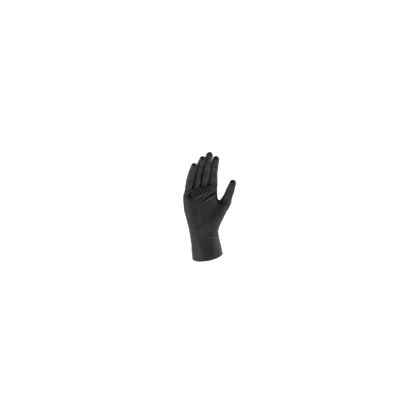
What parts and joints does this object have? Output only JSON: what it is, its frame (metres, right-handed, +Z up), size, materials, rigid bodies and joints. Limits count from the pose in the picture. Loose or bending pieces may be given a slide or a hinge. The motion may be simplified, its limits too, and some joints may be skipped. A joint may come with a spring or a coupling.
{
  "type": "disposable nitrile glove",
  "caption": "Black disposable glove with a beaded cuff, in the shape of a worn right hand; it bends at the wrist and at every finger crease.",
  "frame": {"origin": "centre of the cuff's opening, in the plane of the rolled rim's lowest line", "axes": "+Z up the cuff towards the fingers, +X towards the thumb, -Y out of the palm side"},
  "size_m": [0.127, 0.0632, 0.2371],
  "materials": {
    "nitrile": "satin black film with a fine grain on the fingers",
    "rolled_nitrile": "satin black, rolled several layers thick"
  },
  "bodies": {
    "cuff": {"cuff": "nitrile", "cuff_bead": "rolled_nitrile"},
    "hand": {"palm": "nitrile"},
    "index_root": {"index_root": "nitrile"},
    "index_mid": {"index_mid": "nitrile"},
    "index_tip": {"index_tip": "nitrile"},
    "middle_root": {"middle_root": "nitrile"},
    "middle_mid": {"middle_mid": "nitrile"},
    "middle_tip": {"middle_tip": "nitrile"},
    "ring_root": {"ring_root": "nitrile"},
    "ring_mid": {"ring_mid": "nitrile"},
    "ring_tip": {"ring_tip": "nitrile"},
    "little_root": {"little_root": "nitrile"},
    "little_mid": {"little_mid": "nitrile"},
    "little_tip": {"little_tip": "nitrile"},
    "thumb_root": {"thumb_root": "nitrile"},
    "thumb_tip": {"thumb_tip": "nitrile"}
  },
  "joints": [
    {"name": "wrist", "type": "hinge", "parent": "cuff", "child": "hand", "pos_m": [0, 0, 0.0565], "axis": [1, 0, 0], "range_deg": [-35, 40], "stiffness_Nm_per_rad": 0.3},
    {"name": "index_root", "type": "hinge", "parent": "hand", "child": "index_root", "pos_m": [0.04457, 0.00569, 0.15776], "axis": [0.9898, 0, -0.1426], "range_deg": [-20, 60], "stiffness_Nm_per_rad": 0.02},
    {"name": "index_mid", "type": "hinge", "parent": "index_root", "child": "index_mid", "pos_m": [0.04822, 0.00311, 0.1831], "axis": [0.9898, 0, -0.1426], "range_deg": [-10, 70], "stiffness_Nm_per_rad": 0.01},
    {"name": "index_tip", "type": "hinge", "parent": "index_mid", "child": "index_tip", "pos_m": [0.05124, -0.00439, 0.20408], "axis": [0.9898, 0, -0.1426], "range_deg": [-8, 45], "stiffness_Nm_per_rad": 0.004},
    {"name": "middle_root", "type": "hinge", "parent": "hand", "child": "middle_root", "pos_m": [0.02284, 0.0077, 0.16068], "axis": [0.9839, 0, -0.1788], "range_deg": [-20, 60], "stiffness_Nm_per_rad": 0.02},
    {"name": "middle_mid", "type": "hinge", "parent": "middle_root", "child": "middle_mid", "pos_m": [0.0281, 0.00372, 0.18964], "axis": [0.9839, 0, -0.1788], "range_deg": [-10, 70], "stiffness_Nm_per_rad": 0.01},
    {"name": "middle_tip", "type": "hinge", "parent": "middle_mid", "child": "middle_tip", "pos_m": [0.0326, -0.00728, 0.21438], "axis": [0.9839, 0, -0.1788], "range_deg": [-8, 45], "stiffness_Nm_per_rad": 0.004},
    {"name": "ring_root", "type": "hinge", "parent": "hand", "child": "ring_root", "pos_m": [0.00214, 0.00683, 0.15974], "axis": [0.9728, 0, -0.2317], "range_deg": [-20, 60], "stiffness_Nm_per_rad": 0.02},
    {"name": "ring_mid", "type": "hinge", "parent": "ring_root", "child": "ring_mid", "pos_m": [0.00864, 0.0036, 0.18701], "axis": [0.9728, 0, -0.2317], "range_deg": [-10, 70], "stiffness_Nm_per_rad": 0.01},
    {"name": "ring_tip", "type": "hinge", "parent": "ring_mid", "child": "ring_tip", "pos_m": [0.0143, -0.00659, 0.2108], "axis": [0.9728, 0, -0.2317], "range_deg": [-8, 45], "stiffness_Nm_per_rad": 0.004},
    {"name": "little_root", "type": "hinge", "parent": "hand", "child": "little_root", "pos_m": [-0.01826, 0.00306, 0.16077], "axis": [0.9681, 0, -0.2504], "range_deg": [-20, 60], "stiffness_Nm_per_rad": 0.02},
    {"name": "little_mid", "type": "hinge", "parent": "little_root", "child": "little_mid", "pos_m": [-0.01271, 0.00049, 0.18221], "axis": [0.9681, 0, -0.2504], "range_deg": [-10, 70], "stiffness_Nm_per_rad": 0.01},
    {"name": "little_tip", "type": "hinge", "parent": "little_mid", "child": "little_tip", "pos_m": [-0.00785, -0.00641, 0.20103], "axis": [0.9681, 0, -0.2504], "range_deg": [-8, 45], "stiffness_Nm_per_rad": 0.004},
    {"name": "thumb_root", "type": "hinge", "parent": "hand", "child": "thumb_root", "pos_m": [0.06333, -0.00456, 0.11156], "axis": [0.8277, -0.2897, -0.4806], "range_deg": [-12, 40], "stiffness_Nm_per_rad": 0.03},
    {"name": "thumb_tip", "type": "hinge", "parent": "thumb_root", "child": "thumb_tip", "pos_m": [0.07575, -0.01013, 0.13631], "axis": [0.8277, -0.2897, -0.4806], "range_deg": [-15, 60], "stiffness_Nm_per_rad": 0.008}
  ],
  "couplings": [
    {"joint": "index_tip", "follows": "index_mid", "ratio": 0.64286},
    {"joint": "middle_tip", "follows": "middle_mid", "ratio": 0.64286},
    {"joint": "ring_tip", "follows": "ring_mid", "ratio": 0.64286},
    {"joint": "little_tip", "follows": "little_mid", "ratio": 0.64286}
  ]
}
